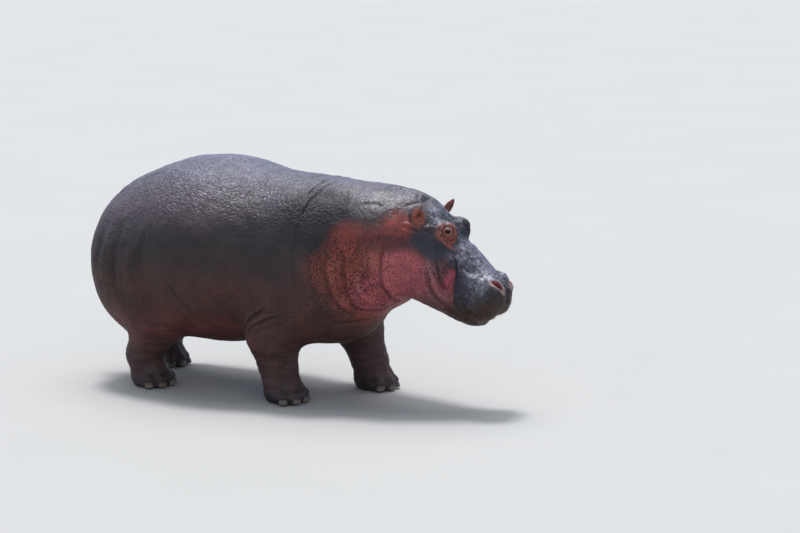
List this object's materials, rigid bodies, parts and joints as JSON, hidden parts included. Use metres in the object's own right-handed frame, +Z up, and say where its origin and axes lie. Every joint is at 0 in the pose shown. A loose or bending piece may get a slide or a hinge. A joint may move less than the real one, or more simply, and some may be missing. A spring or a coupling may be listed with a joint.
{
  "type": "hippopotamus",
  "caption": "Life-size still model of a common hippopotamus, mid-stride with its head held low, standing on four toed feet.",
  "frame": {"origin": "on the ground, under the middle of the whole body's bounding box", "axes": "+X the way the animal walks, +Y to its left, +Z up"},
  "size_m": [2.8368, 1.176, 1.4011],
  "materials": {
    "hide": "wet, glossy, finely pebbled grey-brown skin",
    "blush": "wet pink-brown skin with dark speckles",
    "eye": "wet, dark brown iris",
    "nail": "smooth dull horn"
  },
  "bodies": {
    "root": {"leg_front_left": "hide", "nail_front_left_1": "nail", "nail_front_left_2": "nail", "nail_front_left_3": "nail", "nail_front_left_4": "nail", "foot_front_left": "hide", "leg_front_right": "hide", "nail_front_right_1": "nail", "nail_front_right_2": "nail", "nail_front_right_3": "nail", "nail_front_right_4": "nail", "foot_front_right": "hide", "leg_hind_left": "hide", "nail_hind_left_1": "nail", "nail_hind_left_2": "nail", "nail_hind_left_3": "nail", "nail_hind_left_4": "nail", "foot_hind_left": "hide", "leg_hind_right": "hide", "nail_hind_right_1": "nail", "nail_hind_right_2": "nail", "nail_hind_right_3": "nail", "nail_hind_right_4": "nail", "foot_hind_right": "hide", "tail": "hide", "ear_left": "blush", "ear_right": "blush", "eye_left": "eye", "eye_right": "eye", "head": "hide", "neck": "blush", "trunk": "hide"}
  },
  "joints": []
}
